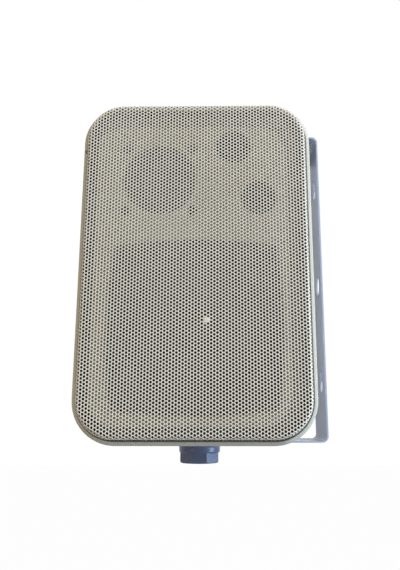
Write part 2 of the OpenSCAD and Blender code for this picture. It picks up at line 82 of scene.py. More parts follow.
class Tree:
    """A node tree that is written from top to bottom."""

    def __init__(self, tree: bpy.types.NodeTree) -> None:
        """Keeps the tree.

        Args:
            tree: The node tree of a material, a world or a group.
        """
        self.tree = tree
        self.placed = 0

    def add(self, kind: str, settings: dict | None = None, **inputs: object) -> bpy.types.Node:
        """Adds a node and fills its inputs.

        Args:
            kind: The node's type, such as ShaderNodeMix.
            settings: The node's own properties by name.
            inputs: Values or sockets by input name, with spaces written as underscores.

        Returns:
            The new node.
        """
        node = self.tree.nodes.new(kind)
        node.location = (180 * self.placed, -60 * (self.placed % 4))
        self.placed += 1
        for name, value in (settings or {}).items():
            setattr(node, name, value)
        for name, value in inputs.items():
            self.feed(node, name.replace("_", " "), value)
        return node

    def feed(self, node: bpy.types.Node, name: str, value: object) -> None:
        """Links a socket to an input, or sets the input's value.

        Args:
            node: The node to fill.
            name: The input's name, or its place as a number after the letter i.
            value: A socket, a number or a sequence.
        """
        place = int(name[1:]) if name[:1] == "i" and name[1:].isdigit() else name
        socket = node.inputs[place]
        if isinstance(value, bpy.types.NodeSocket):
            self.tree.links.new(value, socket)
            return
        if socket.type == "RGBA" and len(value) == 3:
            value = (*value, 1.0)
        socket.default_value = value

    def math(self, how: str, first: object, second: object = 0.0,
             clamp: bool = False) -> bpy.types.NodeSocket:
        """Adds one sum and gives its result.

        Args:
            how: The operation, such as MULTIPLY.
            first: The first value or socket.
            second: The second value or socket.
            clamp: Whether the result is kept between 0 and 1.

        Returns:
            The result's socket.
        """
        node = self.add("ShaderNodeMath", {"operation": how, "use_clamp": clamp}, i0=first, i1=second)
        return node.outputs[0]

    def mix(self, share: object, first: object, second: object) -> bpy.types.NodeSocket:
        """Adds a mix of two colours and gives its result.

        Args:
            share: How much of the second colour shows.
            first: The first colour or socket.
            second: The second colour or socket.

        Returns:
            The mixed colour's socket.
        """
        node = self.add("ShaderNodeMix", {"data_type": "RGBA"}, i0=share, i6=first, i7=second)
        return node.outputs[2]

    def fused(self, first: object, second: object, third: object) -> bpy.types.NodeSocket:
        """Multiplies two values and adds a third.

        Args:
            first: The first factor or its socket.
            second: The second factor or its socket.
            third: What is added, or its socket.

        Returns:
            The result's socket.
        """
        node = self.add("ShaderNodeMath", {"operation": "MULTIPLY_ADD"}, i0=first, i1=second, i2=third)
        return node.outputs[0]

    def vector(self, how: str, first: object, second: object = None) -> bpy.types.NodeSocket:
        """Adds one sum of vectors and gives its result.

        Args:
            how: The operation, such as SUBTRACT.
            first: The first vector or socket.
            second: The second vector or socket, where the operation takes one.

        Returns:
            The result's socket, a number for lengths and products and else a vector.
        """
        node = self.add("ShaderNodeVectorMath", {"operation": how}, i0=first)
        if second is not None:
            self.feed(node, "i1", second)
        return node.outputs["Value" if how in ("DOT_PRODUCT", "DISTANCE", "LENGTH") else "Vector"]

    def spot(self) -> bpy.types.NodeSocket:
        """Gives the place on the object, which stays on it as it moves."""
        return self.add("ShaderNodeTexCoord").outputs["Object"]

    def noise(self, place: object, scale: object, detail: float,
              roughness: float = 0.5) -> bpy.types.NodeSocket:
        """Adds a noise.

        Args:
            place: The socket of the place it is read at.
            scale: Its scale or the scale's socket.
            detail: How many finer noises lie in it.
            roughness: How strong the finer ones are.

        Returns:
            The noise's socket.
        """
        node = self.add("ShaderNodeTexNoise", None, Vector=place, Scale=scale, Detail=detail,
                        Roughness=roughness)
        return node.outputs["Fac"]

    def stretch(self, value: object, low: float, high: float) -> bpy.types.NodeSocket:
        """Stretches a value so that it runs from 0 to 1.

        Args:
            value: The value's socket.
            low: What becomes 0.
            high: What becomes 1.

        Returns:
            The stretched value's socket.
        """
        node = self.add("ShaderNodeMapRange", None, Value=value, From_Min=low, From_Max=high)
        return node.outputs["Result"]

    def seen(self) -> bpy.types.NodeSocket:
        """Gives 1 to rays that see the white background: from the camera, through glass and off a gloss."""
        path = self.add("ShaderNodeLightPath")
        straight = self.math("MAXIMUM", path.outputs["Is Camera Ray"], path.outputs["Is Transmission Ray"])
        return self.math("MAXIMUM", straight, path.outputs["Is Glossy Ray"])


@dataclass(frozen=True)
class Port:
    """A named socket of a shared node group."""

    name: str
    kind: str
    start: object = None


class Effect:
    """A shader node group that several finishes share."""

    name = "effect"
    inputs: tuple[Port, ...] = ()
    outputs: tuple[Port, ...] = ()

    def group(self) -> bpy.types.NodeTree:
        """Builds the group on its first use and gives it afterwards."""
        found = bpy.data.node_groups.get(self.name)
        if found:
            return found
        made = bpy.data.node_groups.new(self.name, "ShaderNodeTree")
        for port in self.inputs:
            socket = made.interface.new_socket(port.name, in_out="INPUT", socket_type=port.kind)
            if port.start is not None:
                socket.default_value = port.start
        for port in self.outputs:
            made.interface.new_socket(port.name, in_out="OUTPUT", socket_type=port.kind)
        tree = Tree(made)
        source = tree.add("NodeGroupInput")
        sink = tree.add("NodeGroupOutput")
        self.draw(tree, source, sink)
        return made

    def draw(self, tree: Tree, source: bpy.types.Node, sink: bpy.types.Node) -> None:
        """Fills the group.

        Args:
            tree: The group's tree.
            source: The group's input node.
            sink: The group's output node.
        """
        raise NotImplementedError

    def place(self, tree: Tree, **inputs: object) -> bpy.types.Node:
        """Places the group in a material.

        Args:
            tree: The material's tree.
            inputs: Values or sockets by input name.

        Returns:
            The placed node.
        """
        node = tree.add("ShaderNodeGroup", {"node_tree": self.group()})
        for name, value in inputs.items():
            tree.feed(node, name.replace("_", " "), value)
        return node


FLOAT = "NodeSocketFloat"
COLOUR = "NodeSocketColor"
VECTOR = "NodeSocketVector"


class Grain(Effect):
    """Fine pimples of moulded plastic or sprayed paint."""

    name = "grain"
    inputs = (Port("Size", FLOAT, 1.0), Port("Coarse share", FLOAT, 0.3))
    outputs = (Port("Height", FLOAT),)
    coarse_size = 9.0

    def draw(self, tree: Tree, source: bpy.types.Node, sink: bpy.types.Node) -> None:
        """Fills the group with a fine noise over a coarse one.

        Args:
            tree: The group's tree.
            source: The group's input node.
            sink: The group's output node.
        """
        place = tree.spot()
        scale = tree.math("DIVIDE", 1 / MM, source.outputs["Size"])
        fine = tree.noise(place, scale, 2.0, 0.6)
        coarse = tree.noise(place, tree.math("DIVIDE", scale, self.coarse_size), 1.0)
        share = source.outputs["Coarse share"]
        rest = tree.math("SUBTRACT", 1.0, share)
        height = tree.math("ADD", tree.math("MULTIPLY", fine, rest), tree.math("MULTIPLY", coarse, share))
        tree.feed(sink, "Height", height)


class Mottle(Effect):
    """Uneven tone, as on a surface that is handled, faded or pressed."""

    name = "mottle"
    inputs = (Port("First", COLOUR), Port("Second", COLOUR), Port("Size", FLOAT, 30.0),
              Port("Amount", FLOAT, 0.5))
    outputs = (Port("Colour", COLOUR), Port("Mask", FLOAT))

    def draw(self, tree: Tree, source: bpy.types.Node, sink: bpy.types.Node) -> None:
        """Fills the group with a soft cloud between two colours.

        Args:
            tree: The group's tree.
            source: The group's input node.
            sink: The group's output node.
        """
        scale = tree.math("DIVIDE", 1 / MM, source.outputs["Size"])
        cloud = tree.noise(tree.spot(), scale, 4.0, 0.6)
        soft = tree.stretch(cloud, 0.35, 0.68)
        mask = tree.math("MULTIPLY", soft, source.outputs["Amount"], clamp=True)
        tree.feed(sink, "Colour", tree.mix(mask, source.outputs["First"], source.outputs["Second"]))
        tree.feed(sink, "Mask", mask)


class EdgeRub(Effect):
    """A mask of the outer edges, where paint rubs thin."""

    name = "edge_rub"
    inputs = (Port("Width", FLOAT, 0.8), Port("Breakup", FLOAT, 6.0))
    outputs = (Port("Mask", FLOAT),)

    def draw(self, tree: Tree, source: bpy.types.Node, sink: bpy.types.Node) -> None:
        """Fills the group with the difference between the true normal and a rounded one.

        Args:
            tree: The group's tree.
            source: The group's input node.
            sink: The group's output node.
        """
        radius = tree.math("MULTIPLY", source.outputs["Width"], MM)
        rounded = tree.add("ShaderNodeBevel", {"samples": 4}, Radius=radius).outputs["Normal"]
        true = tree.add("ShaderNodeNewGeometry").outputs["Normal"]
        turned = tree.stretch(tree.vector("DOT_PRODUCT", rounded, true), 0.99, 0.80)
        scale = tree.math("DIVIDE", 1 / MM, source.outputs["Breakup"])
        patches = tree.stretch(tree.noise(tree.spot(), scale, 3.0), 0.42, 0.62)
        tree.feed(sink, "Mask", tree.math("MULTIPLY", turned, patches, clamp=True))


class Dust(Effect):
    """A mask of settled dust on what faces up."""

    name = "dust"
    inputs = (Port("Amount", FLOAT, 0.3),)
    outputs = (Port("Mask", FLOAT),)
    patch_scale = 160.0

    def draw(self, tree: Tree, source: bpy.types.Node, sink: bpy.types.Node) -> None:
        """Fills the group with the upward share of the normal, broken up by a noise.

        Args:
            tree: The group's tree.
            source: The group's input node.
            sink: The group's output node.
        """
        normal = tree.add("ShaderNodeNewGeometry").outputs["Normal"]
        up = tree.add("ShaderNodeSeparateXYZ", None, Vector=normal).outputs["Z"]
        patches = tree.stretch(tree.noise(tree.spot(), self.patch_scale, 5.0), 0.3, 0.7)
        lying = tree.math("MULTIPLY", tree.stretch(up, 0.2, 1.0), patches)
        tree.feed(sink, "Mask", tree.math("MULTIPLY", lying, source.outputs["Amount"], clamp=True))


class Spot(Effect):
    """A mask round one point, for a single mark."""

    name = "spot"
    inputs = (Port("Centre", VECTOR), Port("Radius", FLOAT, 1.0))
    outputs = (Port("Mask", FLOAT),)
    ragged_scale = 900.0
    hardness = 3.0

    def draw(self, tree: Tree, source: bpy.types.Node, sink: bpy.types.Node) -> None:
        """Fills the group with the distance to the centre, its edge roughened by a noise.

        Args:
            tree: The group's tree.
            source: The group's input node.
            sink: The group's output node.
        """
        place = tree.spot()
        span = tree.vector("DISTANCE", place, source.outputs["Centre"])
        cloud = tree.noise(place, self.ragged_scale, 2.0)
        radius = tree.math("MULTIPLY", source.outputs["Radius"], MM)
        ragged = tree.math("MULTIPLY", radius, tree.math("ADD", cloud, 0.5))
        near = tree.math("SUBTRACT", 1.0, tree.math("DIVIDE", span, ragged), clamp=True)
        tree.feed(sink, "Mask", tree.math("MULTIPLY", near, self.hardness, clamp=True))


class Recess(Effect):
    """A mask of what lies behind the grille, where painted shade is laid."""

    name = "recess"
    inputs = (Port("Middle", VECTOR), Port("Core", VECTOR), Port("Corner", FLOAT, 0.03),
              Port("Front", FLOAT, 0.0))
    outputs = (Port("Mask", FLOAT),)

    def draw(self, tree: Tree, source: bpy.types.Node, sink: bpy.types.Node) -> None:
        """Fills the group with a round-cornered outline and a depth.

        Args:
            tree: The group's tree.
            source: The group's input node.
            sink: The group's output node.
        """
        place = tree.spot()
        away = tree.vector("SUBTRACT", place, source.outputs["Middle"])
        flat = tree.vector("ABSOLUTE", tree.vector("MULTIPLY", away, ACROSS_AND_UP))
        past = tree.vector("MAXIMUM", tree.vector("SUBTRACT", flat, source.outputs["Core"]), (0.0, 0.0, 0.0))
        inside = tree.math("LESS_THAN", tree.vector("LENGTH", past), source.outputs["Corner"])
        depth = tree.add("ShaderNodeSeparateXYZ", None, Vector=place).outputs["Y"]
        behind = tree.math("GREATER_THAN", depth, source.outputs["Front"])
        tree.feed(sink, "Mask", tree.math("MULTIPLY", behind, inside))


@dataclass(frozen=True)
class Outline:
    """A round-cornered outline on the cabinet, and the depth from which its mask holds, in metres."""

    core: Point
    corner: float
    front: float
    middle: Point = (-0.1005, 0.0, 0.0)

    def mask(self, tree: Tree) -> bpy.types.NodeSocket:
        """Masks what lies inside the outline and behind its front.

        Args:
            tree: The material's tree.

        Returns:
            The mask's socket.
        """
        recess = Recess().place(tree, Middle=self.middle, Core=self.core, Corner=self.corner,
                                Front=self.front)
        return recess.outputs["Mask"]


@dataclass(frozen=True)
class Finish:
    """A surface with an uneven tone, a grain, rubbed edges and settled dust."""

    name: str
    first: Colour
    second: Colour
    roughness: float = 0.55
    metallic: float = 0.0
    mottle_size: float = 40.0
    mottle_amount: float = 0.5
    gloss_change: float = 0.08
    grain_size: float = 0.5
    grain_depth: float = 0.02
    coarse_share: float = 0.3
    rub: float = 0.0
    rubbed: Colour = (0.6, 0.6, 0.6)
    rub_width: float = 0.8
    dust: float = 0.0
    dusty: Colour = (0.62, 0.60, 0.55)
    marks: tuple[tuple[Point, float, Colour], ...] = ()
    relief: float = 0.6
    specular: float = 0.4

    def base(self, tree: Tree) -> tuple[bpy.types.NodeSocket, bpy.types.NodeSocket]:
        """Draws the finish's colour before wear.

        Args:
            tree: The material's tree.

        Returns:
            The colour's socket and a mask that the roughness follows.
        """
        cloud = Mottle().place(tree, First=self.first, Second=self.second, Size=self.mottle_size,
                               Amount=self.mottle_amount)
        return cloud.outputs["Colour"], cloud.outputs["Mask"]

    def height(self, tree: Tree) -> bpy.types.NodeSocket:
        """Draws the finish's relief.

        Args:
            tree: The material's tree.

        Returns:
            The height's socket.
        """
        grain = Grain().place(tree, Size=self.grain_size, Coarse_share=self.coarse_share)
        return grain.outputs["Height"]

    def worn(self, tree: Tree, colour: bpy.types.NodeSocket) -> bpy.types.NodeSocket:
        """Lays rubbed edges, dust and single marks over a colour.

        Args:
            tree: The material's tree.
            colour: The colour before wear.

        Returns:
            The worn colour's socket.
        """
        if self.rub > 0:
            edge = EdgeRub().place(tree, Width=self.rub_width)
            colour = tree.mix(tree.math("MULTIPLY", edge.outputs["Mask"], self.rub), colour, self.rubbed)
        if self.dust > 0:
            colour = tree.mix(Dust().place(tree, Amount=self.dust).outputs["Mask"], colour, self.dusty)
        for centre, radius, tint in self.marks:
            colour = tree.mix(Spot().place(tree, Centre=centre, Radius=radius).outputs["Mask"], colour, tint)
        return colour

    def material(self) -> bpy.types.Material:
        """Builds the material on its first use and gives it afterwards."""
        found = bpy.data.materials.get(self.name)
        if found:
            return found
        made = bpy.data.materials.new(self.name)
        made.use_nodes = True
        made.node_tree.nodes.clear()
        tree = Tree(made.node_tree)
        colour, mask = self.base(tree)
        colour = self.worn(tree, colour)
        rough = tree.math("ADD", tree.math("MULTIPLY", mask, self.gloss_change), self.roughness, clamp=True)
        bump = tree.add("ShaderNodeBump", None, Height=self.height(tree), Strength=self.relief,
                        Distance=self.grain_depth * MM)
        shader = tree.add("ShaderNodeBsdfPrincipled", None, Base_Color=colour, Roughness=rough,
                          Metallic=self.metallic, Normal=bump.outputs["Normal"],
                          Specular_IOR_Level=self.specular)
        tree.add("ShaderNodeOutputMaterial", None, Surface=shader.outputs["BSDF"])
        return made


@dataclass(frozen=True)
class FrontMoulding(Finish):
    """A moulding whose baffle, behind the grille, is darkened with painted shade, and whose channel round it
    carries deeper painted shade.
    """

    # shaded is painted shade for the baffle behind the grille; channel is the deeper painted shade of the
    # channel round it.
    shaded: Colour = (0.42, 0.385, 0.305)
    channel: Colour = (0.10, 0.094, 0.076)
    # The first outline holds all the painted shade behind the grille; the second, moved left and down, holds
    # the lighter painted shade, so the darkest painted shade lies along the top and right.
    shade_outline: Outline = Outline((0.0545, 0.0, 0.0955), 0.0282, -0.0957)
    lighter_shade_outline: Outline = Outline((0.0500, 0.0, 0.0885), 0.022, -0.0957, (-0.1055, 0.0, -0.0035))

    def base(self, tree: Tree) -> tuple[bpy.types.NodeSocket, bpy.types.NodeSocket]:
        """Paints shade on the baffle and deeper painted shade on the channel round it.

        Args:
            tree: The material's tree.

        Returns:
            The colour's socket and a mask that the roughness follows.
        """
        colour, mask = super().base(tree)
        # painted shade: inside the second outline the baffle takes shaded, the rest behind the grille takes
        # the darker channel colour
        behind = tree.mix(self.lighter_shade_outline.mask(tree), self.channel, self.shaded)
        return tree.mix(self.shade_outline.mask(tree), colour, behind), mask


@dataclass(frozen=True)
class PanSheet(Finish):
    """The perforated sheet, whose side walls carry painted shade on their inner side."""

    # inner is painted shade for the inner side of the pan's walls.
    inner: Colour = (0.10, 0.095, 0.08)
    walls: Outline = Outline((0.0545, 0.0, 0.0955), 0.0262, -0.094)

    def base(self, tree: Tree) -> tuple[bpy.types.NodeSocket, bpy.types.NodeSocket]:
        """Darkens the inner side of the walls with painted shade.

        Args:
            tree: The material's tree.

        Returns:
            The colour's socket and a mask that the roughness follows.
        """
        colour, mask = super().base(tree)
        # painted shade on the walls' inner side
        return tree.mix(self.walls.mask(tree), colour, self.inner), mask


@dataclass(frozen=True)
class PressedPaper(Finish):
    """Cone paper, whose fibres and pressed rings run round the driver's axis."""

    centre: Point = (0.0, 0.0, 0.0)
    ring_pitch: float = 5.0
    ring_height: float = 0.5
    fibre_height: float = 0.8

    def height(self, tree: Tree) -> bpy.types.NodeSocket:
        """Draws pressed rings over the fibres.

        Args:
            tree: The material's tree.

        Returns:
            The height's socket.
        """
        flat = tree.vector("MULTIPLY", tree.spot(), ACROSS_AND_UP)
        away = tree.vector("DISTANCE", flat, (self.centre[0], 0.0, self.centre[2]))
        turn = tree.math("MULTIPLY", away, 2 * math.pi / (self.ring_pitch * MM))
        rings = tree.math("MULTIPLY", tree.math("SINE", turn), self.ring_height)
        return tree.math("ADD", rings, tree.math("MULTIPLY", super().height(tree), self.fibre_height))


@dataclass(frozen=True)
class Laminate(Finish):
    """Circuit board with copper tracks under its lacquer."""

    track_scale: float = 60.0
    track_width: float = 0.06

    def base(self, tree: Tree) -> tuple[bpy.types.NodeSocket, bpy.types.NodeSocket]:
        """Draws square tracks on the board's colour.

        Args:
            tree: The material's tree.

        Returns:
            The colour's socket and the tracks' mask.
        """
        bricks = tree.add("ShaderNodeTexBrick", None, Vector=tree.spot(), Scale=self.track_scale,
                          Color1=self.first, Color2=self.first, Mortar=self.second,
                          Mortar_Size=self.track_width)
        return bricks.outputs["Color"], bricks.outputs["Fac"]


@dataclass(frozen=True)
class Place:
    """Where the cabinet hangs in the frame, in millimetres."""

    reach: float = 100.5
    pivot_depth: float = 97.5

    def point(self, x: float, depth: float, z: float) -> Point:
        """Turns a place on the cabinet into a point of the frame.

        Args:
            x: Millimetres to the right of the grille's centre.
            depth: Millimetres behind the grille's face.
            z: Millimetres above the grille's centre.

        Returns:
            The point in metres.
        """
        return ((x - self.reach) * MM, (depth - self.pivot_depth) * MM, z * MM)

    def points(self, x: np.ndarray, depth: np.ndarray, z: np.ndarray) -> np.ndarray:
        """Turns many places on the cabinet into points of the frame."""
        return np.stack([x - self.reach, depth - self.pivot_depth, z], axis=1) * MM


class Maker:
    """Shared ways to turn points and faces into pieces."""

    def __init__(self, frame: dict) -> None:
        """Keeps the frame.
        """
        self.frame = frame

    def piece(self, name: str, points: np.ndarray, faces: list, finish: Finish) -> bpy.types.Object:
        """Makes a mesh object.

        Args:
            name: The piece's name.
            points: Its vertices in metres.
            faces: Its faces, as lists of vertex numbers.
            finish: What it is finished with.

        Returns:
            The linked object.
        """
        mesh = bpy.data.meshes.new(name)
        mesh.from_pydata([tuple(p) for p in points], [], faces)
        mesh.validate()
        mesh.materials.append(finish.material())
        made = bpy.data.objects.new(name, mesh)
        bpy.context.scene.collection.objects.link(made)
        LOG.info("made %s with %d faces", name, len(mesh.polygons))
        return made

    def soften(self, piece: bpy.types.Object, degrees: float = 40.0) -> None:
        """Shades a piece smooth up to an angle.

        Args:
            piece: The mesh object.
            degrees: The angle past which an edge stays sharp.
        """
        piece.data.shade_smooth()
        piece.data.set_sharp_from_angle(angle=math.radians(degrees))

    def dress(self, node: str, finish: Finish, degrees: float = 32.0) -> None:
        """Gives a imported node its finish.

        Args:
            node: The node's name.
            finish: What it is finished with.
            degrees: The angle past which its edges stay sharp.
        """
        item = self.frame["nodes"][node]
        item.data.materials.clear()
        item.data.materials.append(finish.material())
        self.soften(item, degrees)
        LOG.info("dressed %s in %s", node, finish.name)


@dataclass
class Grille:
    """The perforated sheet, pressed into a pan."""

    maker: Maker
    finish: Finish
    place: Place = field(default_factory=Place)
    width: float = 162.2
    height: float = 244.2
    corner: float = 26.6
    bend: float = 3.0
    sheet: float = 0.8
    pan: float = 14.0
    pitch: float = 2.5
    hole: float = 1.01
    shift: tuple[float, float] = (0.75, -49.0)
    side_rows: float = 10.0
    back_share: float = 0.7
    chart_margin: float = 4.0
    skin: float = 0.04
    edge_lap: float = 1.8

    def lattice(self) -> tuple[np.ndarray, dict[tuple[int, int], int]]:
        """Lays the holes out on the flat blank.

        Returns:
            The holes' centres, and each hole's number by column and row.
        """
        step = self.pitch * math.sqrt(3) / 2
        columns = int(self.width / step)
        rows = int(self.height / self.pitch)
        centres = []
        numbers = {}
        for i in range(-columns, columns + 1):
            for j in range(-rows, rows + 1):
                x = self.shift[0] + i * step
                z = self.shift[1] + (j + 0.5 * (i % 2)) * self.pitch
                if self.outside(np.array([[x, z]]))[0][0] < self.side_rows:
                    numbers[(i, j)] = len(centres)
                    centres.append((x, z))
        return np.array(centres), numbers

    def outside(self, flat: np.ndarray) -> tuple[np.ndarray, np.ndarray]:
        """Measures how far points of the blank lie beyond the face's flat part.

        Args:
            flat: Points of the blank, in millimetres.

        Returns:
            The distances, negative inside, and the outward directions.
        """
        r = self.corner - self.bend
        core = np.array([self.width / 2 - self.corner, self.height / 2 - self.corner])
        past = np.maximum(np.abs(flat) - core, 0.0)
        span = np.linalg.norm(past, axis=1)
        inner = np.max(np.abs(flat) - core, axis=1)
        away = np.where(span > 0, span - r, inner - r)
        turn = past / np.maximum(span, 1e-9)[:, None] * np.sign(flat)
        return away, turn

    def wrap(self, flat: np.ndarray, under: float) -> np.ndarray:
        """Presses points of the blank into the pan.

        Args:
            flat: Points of the blank, in millimetres.
            under: How deep in the sheet they lie, from its outer face.

        Returns:
            Points of the frame in metres.
        """
        away, turn = self.outside(flat)
        away = np.maximum(away, 0.0)
        middle = self.bend - self.sheet / 2
        angle = np.minimum(away / middle, math.pi / 2)
        down = np.maximum(away - middle * math.pi / 2, 0.0)
        radius = self.bend - under
        side = radius * np.sin(angle)
        depth = self.bend - radius * np.cos(angle) + down
        spot = flat + turn * (side - away)[:, None]
        return self.place.points(spot[:, 0], depth, spot[:, 1])

    def links(self, i: int, j: int) -> list[tuple[int, int]]:
        """Gives the holes above, to the upper right and to the lower right of a hole."""
        up = j + (i % 2)
        return [(i, j + 1), (i + 1, up), (i + 1, up - 1)]

    def webs(self, numbers: dict[tuple[int, int], int]) -> tuple[np.ndarray, np.ndarray]:
        """Joins each hole to its neighbours with the sheet between them.

        Args:
            numbers: Each hole's number by column and row.

        Returns:
            The quads and triangles as rows of vertex numbers, each row led by its hole.
        """
        quads = []
        triangles = []
        for (i, j), a in numbers.items():
            above, right_up, right_down = (numbers.get(key) for key in self.links(i, j))
            if above is not None:
                quads.append((a, *self.rim(a, 2, 1), *self.rim(above, 6, 5)))
            if right_up is not None and above is not None:
                hexagon = self.rim(a, 1, 0) + self.rim(right_up, 4, 3) + self.rim(above, 7, 6)
                triangles += [(a, *t) for t in self.fan(hexagon)]
            if right_up is not None and right_down is not None:
                hexagon = self.rim(a, 0, 7) + self.rim(right_down, 3, 2) + self.rim(right_up, 5, 4)
                triangles += [(a, *t) for t in self.fan(hexagon)]
        return np.array(quads), np.array(triangles)

    def rim(self, hole: int, *corners: int) -> list[int]:
        """Gives the vertex numbers of some corners of a hole."""
        return [hole * RIM + k for k in corners]

    def walls(self, count: int) -> np.ndarray:
        """Lines the holes through the sheet's thickness.

        Args:
            count: How many holes there are.

        Returns:
            The walls as rows of vertex numbers, each row led by its hole.
        """
        one = np.arange(count * RIM)
        hole = one // RIM
        two = hole * RIM + (one + 1) % RIM
        back = count * RIM
        return np.stack([hole, one, two, two + back, one + back], axis=1)

    def fan(self, ring: list[int]) -> list[tuple[int, int, int]]:
        """Cuts a six-sided web into four triangles without slivers."""
        a, b, c, d, e, f = ring
        return [(a, b, f), (b, c, e), (c, d, e), (b, e, f)]

    def perforated(self) -> list[bpy.types.Object]:
        """Builds the perforated sheet as two pieces, the flat face and what is bent round it."""
        centres, numbers = self.lattice()
        step = 360 / RIM
        turns = np.radians(step / 2 + step * np.arange(RIM))
        ring = np.stack([np.cos(turns), np.sin(turns)], axis=1)
        blank = (centres[:, None, :] + self.hole * ring[None]).reshape(-1, 2)
        narrowed = (centres[:, None, :] + self.back_share * self.hole * ring[None]).reshape(-1, 2)
        points = np.concatenate([self.wrap(blank, 0.0), self.wrap(blank, self.sheet)])
        spread = np.concatenate([blank, narrowed])
        away = self.outside(centres)[0]
        kinds = (*self.webs(numbers), self.walls(len(centres)))
        pieces = []
        for name, wanted in (("grille_face", away < 0.0), ("grille_sides", away >= 0.0)):
            faces = [tuple(row[1:]) for rows in kinds for row in rows[wanted[rows[:, 0]]]]
            pieces.append(self.cut_out(name, points, spread, faces))
        LOG.info("grille has %d holes", len(centres))
        return pieces

    def build(self) -> None:
        """Builds the perforated sheet and the pan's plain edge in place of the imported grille."""
        for piece in (*self.perforated(), self.edge()):
            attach(piece, "cabinet")
            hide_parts("grille")

    def cut_out(self, name: str, points: np.ndarray, spread: np.ndarray, faces: list) -> bpy.types.Object:
        """Makes a piece of only the points that its faces use, and maps it flat.

        Args:
            name: The piece's name.
            points: All points of the sheet.
            spread: The same points on the flat blank.
            faces: The piece's faces.

        Returns:
            The piece.
        """
        used = np.unique(np.concatenate([np.array(face) for face in faces]))
        fresh = np.full(len(points), -1)
        fresh[used] = np.arange(len(used))
        renumbered = [tuple(int(fresh[v]) for v in face) for face in faces]
        piece = self.maker.piece(name, points[used], renumbered, self.finish)
        chart = piece.data.uv_layers.new(name="OFBake")
        corners = np.zeros(len(piece.data.loops), dtype=np.int32)
        piece.data.loops.foreach_get("vertex_index", corners)
        long_side = self.height + 2 * self.pan + self.chart_margin
        flat = (spread[used][corners] + long_side / 2) / long_side
        chart.data.foreach_set("uv", flat.astype(np.float32).ravel())
        self.maker.soften(piece, 50)
        return piece

    def outline(self, inset: float, steps: int = 14) -> np.ndarray:
        """Walks round the pan's outline.

        Args:
            inset: How far inside the outer face, in millimetres.
            steps: Points in each corner.

        Returns:
            Points across and up, in millimetres.
        """
        r = self.corner - inset
        core = (self.width / 2 - self.corner, self.height / 2 - self.corner)
        walk = []
        for quarter, (sx, sz) in enumerate(((1, 1), (-1, 1), (-1, -1), (1, -1))):
            for k in range(steps + 1):
                turn = math.radians(90 * quarter + 90 * k / steps)
                walk.append((sx * core[0] + r * math.cos(turn), sz * core[1] + r * math.sin(turn)))
        return np.array(walk)

    def edge(self) -> bpy.types.Object:
        """Builds the pan's plain edge, which sits in the channel."""
        outer = self.outline(self.skin)
        inner = self.outline(self.sheet - self.skin)
        n = len(outer)
        top = self.side_rows - self.edge_lap
        rings = [(outer, top), (outer, self.pan), (inner, self.pan), (inner, top)]
        points = np.concatenate([self.place.points(w[:, 0], np.full(n, d), w[:, 1]) for w, d in rings])
        faces = [(k * n + a, k * n + (a + 1) % n, (k + 1) % 4 * n + (a + 1) % n, (k + 1) % 4 * n + a)
                 for k in range(4) for a in range(n)]
        piece = self.maker.piece("grille_edge", points, faces, self.finish)
        self.maker.soften(piece, 40)
        return piece


@dataclass
class PaintDrop:
    """The drop of dried paint that fills a few of the grille's holes."""

    maker: Maker
    finish: Finish
    place: Place = field(default_factory=Place)
    centre: tuple[float, float] = (8.3, -41.3)
    radius: float = 2.3
    height_share: float = 0.9
    peak: float = 0.28
    crown: float = 0.30
    sink: float = 0.06
    waves: tuple[tuple[float, int, float], ...] = ((0.16, 2, 0.8), (0.10, 3, 2.1))
    rings: int = 5
    steps: int = 40

    def points(self) -> np.ndarray:
        """Gives the drop's peak and then its rings, from the inside out, in metres."""
        across, up = self.centre
        points = [self.place.point(across, -self.peak, up)]
        for k in range(1, self.rings + 1):
            share = k / self.rings
            lift = self.crown * (1 - share ** 3) - self.sink * share
            for a in range(self.steps):
                turn = 2 * math.pi * a / self.steps
                wave = sum((size * math.sin(count * turn + start) for size, count, start in self.waves), 1.0)
                r = self.radius * wave * share
                points.append(self.place.point(across + r * math.cos(turn), -lift,
                                               up + self.height_share * r * math.sin(turn)))
        return np.array(points)

    def build(self) -> None:
        """Builds the drop on the grille's face."""
        n = self.steps
        faces = [(0, 1 + a, 1 + (a + 1) % n) for a in range(n)]
        for k in range(self.rings - 1):
            low, high = 1 + k * n, 1 + (k + 1) * n
            faces += [(low + a, high + a, high + (a + 1) % n, low + (a + 1) % n) for a in range(n)]
        piece = self.maker.piece("paint_drop", self.points(), faces, self.finish)
        self.maker.soften(piece, 80)
        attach(piece, "cabinet")


@dataclass
class KnobSkirt:
    """The round skirt on a clamp knob, between the yoke's arm and its flats."""

    maker: Maker
    finish: Finish
    place: Place = field(default_factory=Place)
    base: float = 127.1
    steps: int = 72
    profile: tuple[tuple[float, float], ...] = (
        (13.6, 2.9), (17.3, 2.9), (16.95, 3.5), (16.7, 4.2), (16.6, 5.0), (16.56, 6.4), (16.54, 7.6),
        (16.3, 8.1), (13.6, 10.2))

    def build(self, side: str) -> None:
        """Turns the skirt round the knob's axis.

        Args:
            side: The knob's end of the bracket, upper or lower.
        """
        way = 1 if side == "upper" else -1
        points = []
        for k in range(self.steps):
            turn = 2 * math.pi * k / self.steps
            for radius, height in self.profile:
                across = radius * math.cos(turn) - self.place.reach
                points.append((across * MM, radius * math.sin(turn) * MM, way * (self.base + height) * MM))
        n = len(self.profile)
        faces = []
        for k in range(self.steps):
            here, there = k * n, (k + 1) % self.steps * n
            for j in range(n):
                ring = [here + j, there + j, there + (j + 1) % n, here + (j + 1) % n]
                faces.append(ring if way > 0 else ring[::-1])
        piece = self.maker.piece(f"knob_skirt_{side}", np.array(points), faces, self.finish)
        self.maker.soften(piece, 35)
        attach(piece, f"knob_{side}")


